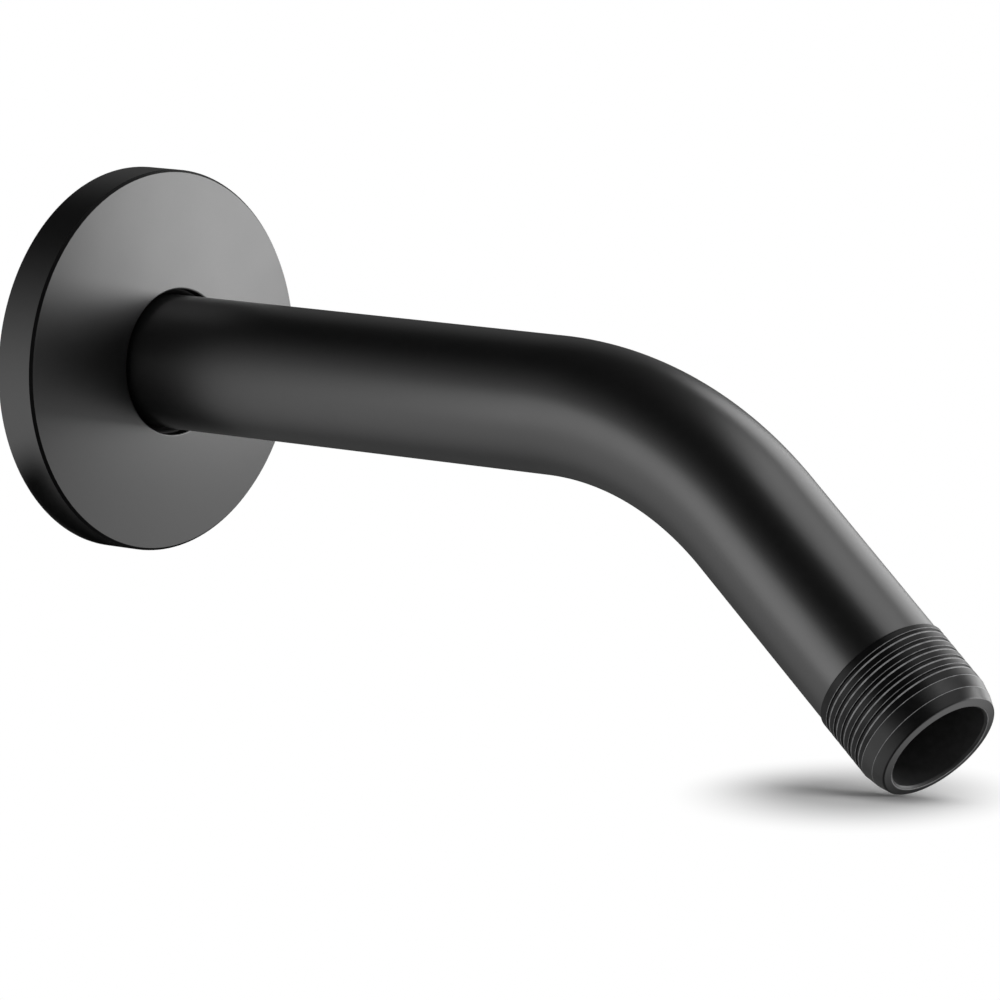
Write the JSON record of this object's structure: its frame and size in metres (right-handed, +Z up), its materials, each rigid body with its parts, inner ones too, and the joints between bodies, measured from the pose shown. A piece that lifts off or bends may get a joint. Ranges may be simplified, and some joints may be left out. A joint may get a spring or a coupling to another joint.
{
  "type": "shower arm",
  "caption": "Bent shower arm pipe, threaded at the wall end and at the outlet, with a round coned wall flange that slides and turns on it.",
  "frame": {"origin": "on the pipe's axis in the wall plane, which is the flange's back face", "axes": "+X leaves the wall along the straight run, +Z is up, and the outlet bends down in the XZ plane"},
  "size_m": [0.1863, 0.06, 0.0801],
  "materials": {
    "black_coating": "satin black coating on metal",
    "black_rubber": "smooth moulded rubber"
  },
  "bodies": {
    "arm": {"arm": "black_coating"},
    "ring": {"sealing_ring": "black_rubber"},
    "flange": {"flange": "black_coating"}
  },
  "joints": [
    {"name": "flange_slide", "type": "slide", "parent": "arm", "child": "ring", "axis": [1, 0, 0], "range_m": [0, 0.078]},
    {"name": "flange_turn", "type": "hinge", "parent": "ring", "child": "flange", "pos_m": [0, 0, 0], "axis": [1, 0, 0], "continuous": true}
  ]
}
